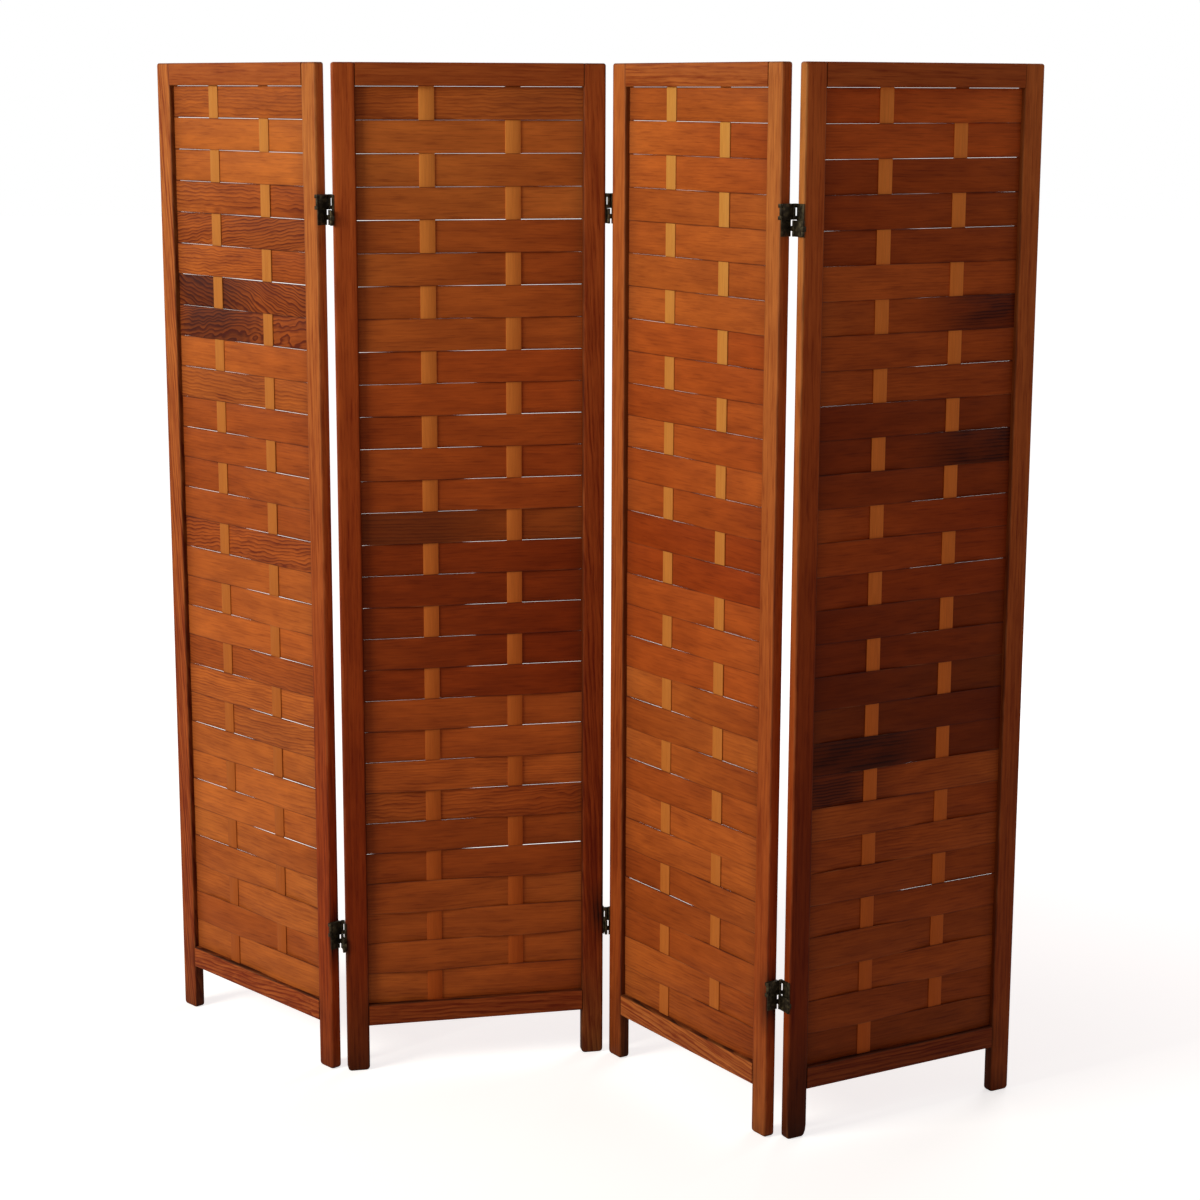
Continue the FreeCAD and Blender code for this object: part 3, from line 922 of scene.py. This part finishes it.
# %% [markdown]
# ### How the slats differ
# No two slats on a worked screen are alike, so each one is a little wider, higher, tilted or bowed further than the
# next. That makes the slits of light between them uneven, and a few are loose. The even slats ride a shade high,
# on one panel a shade low. Where two neighbours bow apart, damp has swelled them so that they lap, more so towards
# the floor and on the two panels at the right, which were woven tighter. The last few slats have settled on the rail,
# with no light between.

# %% Slat differences
# Each panel's slit between slats, swelling per metre below the top, and lift of the even slats
SLITS = {1: 0.0004, 2: 0.0003, 3: 0.0001, 4: 0.00005}
SWELLS = {1: 0.00048, 2: 0.00042, 3: 0.0006, 4: 0.0006}
EVEN_LIFT = {1: 0.0001, 2: 0.0001, 3: -0.00005, 4: 0.0001}
# Rows, counted from the top, with a wider slit under them, or a narrower one where the number is below zero
LOOSE_ROWS = {(1, 1): 0.0003, (1, 6): 0.0005, (1, 24): 0.0003, (1, 25): 0.0004, (2, 1): -0.0003, (2, 2): 0.0001,
              (2, 4): 0.0004, (2, 24): 0.0005, (3, 1): 0.0004, (3, 25): 0.0012, (4, 2): 0.0003, (4, 4): 0.0001,
              (4, 10): -0.0002, (4, 24): 0.0004}
SETTLED_ROW = 26
SETTLED_SWELL = 0.0005
# How far chance goes: in width, height, tilt and bow, and in the cupping across a slat
WIDTH_PLAY = 0.0001
LIFT_PLAY = 0.00008
TILT_PLAY = 0.0003
BOW_PLAY = 0.06
CUP_PLAY = (-0.15, 0.05)
# How far a slat drifts from light at one end to dark at the other, as a share, drawn by a generator of its own
DRIFT = 0.09
drift_chance = random.Random(SEED)
print("slits", [round(slit * 1000, 2) for slit in SLITS.values()], "mm, loose rows", len(LOOSE_ROWS))

# %% [markdown]
# ### Weaving the slats
# The slats of a piece are added as blocks and cut into short lengths. Then every point is marked for the finish and
# pushed to its place on the two bows. A curve with a profile would bow as well, but it could not be cupped, swelled
# and tilted point by point.

# %% Woven slats
def slats(panel, first, way, name):
    boards = Boards()
    tops = {row: OPENING_TOP - SLAT_HEAD_GAP - row * slat_pitch for row in range(first, SLAT_COUNT, 2)}
    for top in tops.values():
        boards.add((-slat_end, -SLAT_THICKNESS / 2, top - slat_height), (slat_end, SLAT_THICKNESS / 2, top))
    boards.round(boards.long_edges(slat_end), SLAT_EDGE_RADIUS, 2)
    boards.cut(slat_end, SLAT_CUTS)

    tones = {row: slat_tone(panel, row + 1) for row in tops}
    tree_places = {row: from_tree(tones[row].z) for row in tops}
    wider = {row: (SLAT_GAP - SLITS[panel]) / 2 - WIDTH_PLAY * chance.random() for row in tops}
    lift = {row: first * EVEN_LIFT[panel] + chance.uniform(-LIFT_PLAY, LIFT_PLAY) for row in tops}
    tilt = {row: chance.gauss(0.0, TILT_PLAY) for row in tops}
    extra = {row: 1 + abs(chance.gauss(0.0, BOW_PLAY)) for row in tops}
    cup = {row: chance.uniform(*CUP_PLAY) for row in tops}
    drift = {row: drift_chance.gauss(0.0, DRIFT) for row in tops}
    half = Vector((slat_end, SLAT_THICKNESS / 2, slat_height / 2))
    for vert in boards.bm.verts:
        row = first + 2 * round((tops[first] - half.z - vert.co.z) / (2 * slat_pitch))
        centre = tops[row] - half.z
        x, y, rise = vert.co.x, vert.co.y, vert.co.z - centre
        across = rise / half.z
        lighter = drift[row] * x / slat_end
        tone = tones[row] + Vector((tones[row].x * lighter, -lighter, 0.0))
        boards.mark(vert, tree_places[row](x, rise, y), tone, slat_stain_and_shade(panel, row + 1, x), across)
        settled = SETTLED_SWELL if row >= SETTLED_ROW - 1 else 0.0
        swell = SWELLS[panel] * (OPENING_TOP - centre) + settled
        spread = wider[row] + settled / 2 + swell * abs(bend(x) / bend(STRIP_OFFSET))
        if across < 0:
            spread -= LOOSE_ROWS.get((panel, row + 1), 0.0)
        vert.co.y = y - way * bow * bend(x) * (extra[row] + cup[row] * across ** 2)
        vert.co.z = centre + lift[row] + rise + across * spread + x * tilt[row]
    return finish_piece(boards.bm, f"slats_{panel}_{name}", panel, SLAT_WOOD, [f"panel_{panel}_{name}_slats"])


# A piece's first row, the way its slats bow, and its name
WAYS = ((0, 1, "odd"), (1, -1, "even"))
weave = [slats(panel, first, way, name) for panel in PANELS for first, way, name in WAYS]
print("slat pieces", len(weave))

# %% [markdown]
# ## Hinge metal
# The hinges are brass gone almost black, with a dull olive shine where they rub. A plain dark metal would look like
# new paint, so a cloudy noise lets the brass through in places, and makes the metal rougher and smoother with it.

# %% Hinge metal
TARNISH = (0.026, 0.019, 0.011, 1)
RUBBED_BRASS = (0.13, 0.1, 0.05, 1)
TARNISH_PACE = (170.0, 170.0, 170.0)
TARNISH_STOPS = ((0.46, 0.0), (0.75, 0.7))
BRASS_ROUGHNESS, TARNISH_ROUGHNESS = 0.34, 0.3


def dark_brass():
    material, tree, shader = new_finish("darkened brass")
    spot = put(tree, "ShaderNodeTexCoord").outputs["Object"]
    cloud = noise(tree, stretch(tree, spot, TARNISH_PACE), 4.0).outputs["Fac"]
    colour = mix(tree, ramp(tree, cloud, TARNISH_STOPS), TARNISH, RUBBED_BRASS)
    tree.links.new(colour, shader.inputs["Base Color"])
    shader.inputs["Metallic"].default_value = 0.7
    shader.inputs["Specular IOR Level"].default_value = 0.2
    roughness = calc(tree, "MULTIPLY_ADD", cloud, TARNISH_ROUGHNESS, BRASS_ROUGHNESS)
    tree.links.new(roughness, shader.inputs["Roughness"])
    bump = put(tree, "ShaderNodeBump", {"Height": cloud, "Strength": 0.2, "Distance": 0.0003})
    tree.links.new(bump.outputs[0], shader.inputs["Normal"])
    return material


BRASS = dark_brass()
print("hinge finish", BRASS.name)

# %% [markdown]
# ## Hinge parts
# A hinge is made of bent plate: a leaf on the edge of each stile, and two links between them that cross from the
# front pins to the back ones, so the screen can fold either way. All of it is plates, round knuckles and screws.
# Each is started from a cube or a cone, and its edges are rounded by a hair, so that they catch the light. A screw's
# slot is the middle strip of its head, cut free by two planes and pushed in.

# %% Hinge parts
KNUCKLE_RADIUS = 0.0025
PIN_RADIUS = 0.0013
HINGE_EASE = 0.0003
ROUND_SEGMENTS = 20
SCREW_RADIUS = 0.0026
SCREW_TOP_RADIUS = SCREW_RADIUS * 0.85
SCREW_HEAD = 0.0003
SCREW_SLOT_HALF = 0.0004
SCREW_SLOT_DEPTH = 0.0008


def soften(bm, verts, radius):
    """Round the sharp edges of one freshly added shape."""
    edges = {edge for vert in verts for edge in vert.link_edges if edge.calc_face_angle(0) > SHARP}
    bmesh.ops.bevel(bm, geom=list(edges), offset=radius, segments=2, profile=0.5, affect="EDGES", material=-1)


def add_plate(bm, low, high):
    size = Vector(high) - Vector(low)
    shape = Matrix.Translation((Vector(high) + Vector(low)) / 2) @ Matrix.Diagonal((*size, 1))
    soften(bm, bmesh.ops.create_cube(bm, size=1, matrix=shape)["verts"], HINGE_EASE)


def add_barrel(bm, y, low, high, radius):
    spot = Matrix.Translation((0, y, (low + high) / 2))
    rim = bmesh.ops.create_cone(bm, cap_ends=True, segments=ROUND_SEGMENTS, radius1=radius, radius2=radius,
                                depth=high - low, matrix=spot)
    soften(bm, rim["verts"], HINGE_EASE)


def add_screw(bm, x, y, z):
    """A slotted screw head that stands a hair proud of a leaf, facing +x."""
    turn = chance.uniform(0, math.pi)
    spot = Matrix.Translation((x, y, z)) @ Matrix.Rotation(math.pi / 2, 4, "Y") @ Matrix.Rotation(turn, 4, "Z")
    head = bmesh.ops.create_cone(bm, cap_ends=True, segments=ROUND_SEGMENTS, radius1=SCREW_RADIUS,
                                 radius2=SCREW_TOP_RADIUS, depth=SCREW_HEAD, matrix=spot)["verts"]
    across = spot.to_3x3() @ Vector((0, 1, 0))
    faces = {face for vert in head for face in vert.link_faces}
    top = max(faces, key=lambda face: face.calc_center_median().x)
    for side in (-1, 1):
        geom = {top, *top.edges, *top.verts}
        line = spot.translation + across * side * SCREW_SLOT_HALF
        cut = bmesh.ops.bisect_plane(bm, geom=list(geom), plane_co=line, plane_no=across)["geom"]
        parts = [part for part in cut if isinstance(part, bmesh.types.BMFace)]
        top = min(parts, key=lambda face: (face.calc_center_median() - spot.translation).length)
    slot = bmesh.ops.extrude_discrete_faces(bm, faces=[top])["faces"]
    bmesh.ops.translate(bm, vec=(-SCREW_SLOT_DEPTH, 0, 0), verts=slot[0].verts)


print("knuckle", KNUCKLE_RADIUS * 2, "m across, screw", SCREW_RADIUS * 2)

# %% [markdown]
# ### Leaves and links
# A leaf carries a pair of knuckles with their pin at the front in its upper half, and one knuckle at the back in
# its lower half. The leaf on the other side is the same one turned round, so one shape serves both. The upper link
# has a single knuckle at each end, and the lower link has a pair. Heights are counted from the middle of the hinge.

# %% Leaves and links
PANEL_GAP = 0.009
AXIS_OFFSET = 0.0125
LEAF_THICKNESS = 0.0015
LINK_HALF = 0.0013
WEB_REACH = 0.0095
ARM_START = WEB_REACH * 0.97
HINGE_HALF = 0.025
PIN_DROP = 0.0002
UPPER_PAIR, UPPER_SINGLE = ((0.0005, 0.0066), (0.0189, 0.025)), (0.00675, 0.01875)
LOWER_PAIR, LOWER_SINGLE = ((-0.025, -0.0169), (-0.0086, -0.0005)), (-0.01675, -0.00875)
# Where the screws sit on a leaf, towards the back and up from its middle
SCREW_SPOTS = ((0.003, 0.017), (-0.003, 0.0), (0.003, -0.017))


def add_knuckles(bm, y, levels, arms):
    """Knuckles at the given levels on one pin line, each with the arms that carry it."""
    for low, high in levels:
        add_barrel(bm, y, low, high, KNUCKLE_RADIUS)
        for (x_low, x_high), (y_low, y_high) in arms:
            add_plate(bm, (x_low, min(y_low, y_high), low), (x_high, max(y_low, y_high), high))


def add_pin(bm, y, levels):
    """One pin through a pair of knuckles, a hair low, so that its end shows under the lower one."""
    add_barrel(bm, y, levels[0][0] - PIN_DROP, levels[1][1] - PIN_DROP, PIN_RADIUS)


def leaf(bm):
    wall = -PANEL_GAP / 2
    plate = (wall, wall + LEAF_THICKNESS)
    add_plate(bm, (plate[0], -FRAME_THICKNESS / 2, -HINGE_HALF), (plate[1], FRAME_THICKNESS / 2, HINGE_HALF))
    for out, levels in ((-1, UPPER_PAIR), (1, (LOWER_SINGLE,))):
        y = out * AXIS_OFFSET
        arms = (((wall, 0), (y - KNUCKLE_RADIUS, y + KNUCKLE_RADIUS)), (plate, (out * FRAME_THICKNESS / 2, y)))
        add_knuckles(bm, y, levels, arms)
    add_pin(bm, -AXIS_OFFSET, UPPER_PAIR)
    for y, z in SCREW_SPOTS:
        add_screw(bm, plate[1], y, z)


def link(bm, levels, low, high):
    add_plate(bm, (-LINK_HALF, -WEB_REACH, low), (LINK_HALF, WEB_REACH, high))
    for out in (-1, 1):
        arm = ((-LINK_HALF, LINK_HALF), (out * ARM_START, out * AXIS_OFFSET))
        add_knuckles(bm, out * AXIS_OFFSET, levels, (arm,))


def upper_link(bm):
    link(bm, (UPPER_SINGLE,), UPPER_PAIR[0][0], UPPER_PAIR[1][1])


def lower_link(bm):
    link(bm, LOWER_PAIR, LOWER_PAIR[0][0], LOWER_PAIR[1][1])
    for out in (-1, 1):
        add_pin(bm, out * AXIS_OFFSET, LOWER_PAIR)


print("leaf", 2 * HINGE_HALF, "m high with", len(SCREW_SPOTS), "screws")

# %% [markdown]
# ### Hanging the hinges
# Two hinges hang between neighbouring panels, one near the top and one near the floor. A leaf is screwed to the
# edge of its own panel. The two links could be left free, but a screen in use folds about one row of pins at a time,
# so each link turns with one panel and is placed in that panel's frame.

# %% Hang the hinges
HINGE_EDGE = PANEL_WIDTH / 2 + PANEL_GAP / 2
UPPER_HINGE_DROP = 0.237
LOWER_HINGE_RISE = 0.245
HINGE_HEIGHTS = (PANEL_HEIGHT - UPPER_HINGE_DROP, LOWER_HINGE_RISE)
# Each pair of panels, with the panels that its upper and its lower links turn with
HINGE_PAIRS = (("12", 1, 2), ("23", 3, 2), ("34", 3, 4))


def hang(shape, pair, name, panel):
    """The same hinge piece at both heights, at the panel's edge that faces the pair's gap."""
    side = 1 if panel == int(pair[0]) else -1
    turn = Matrix.Rotation(0 if side > 0 else math.pi, 4, "Z")
    bm = bmesh.new()
    for height in HINGE_HEIGHTS:
        hung = set(bm.verts)
        shape(bm)
        fresh = [vert for vert in bm.verts if vert not in hung]
        bmesh.ops.transform(bm, matrix=Matrix.Translation((side * HINGE_EDGE, 0, height)) @ turn, verts=fresh)
    return finish_piece(bm, f"{name}_{pair}", panel, BRASS, [f"hinge_{pair}_{name}"])


hinges = []
for pair, upper_turns_with, lower_turns_with in HINGE_PAIRS:
    left, right = int(pair[0]), int(pair[1])
    hinges += [hang(leaf, pair, "left_leaves", left), hang(leaf, pair, "right_leaves", right),
               hang(upper_link, pair, "upper_links", upper_turns_with),
               hang(lower_link, pair, "lower_links", lower_turns_with)]
print("hinge pieces", len(hinges))
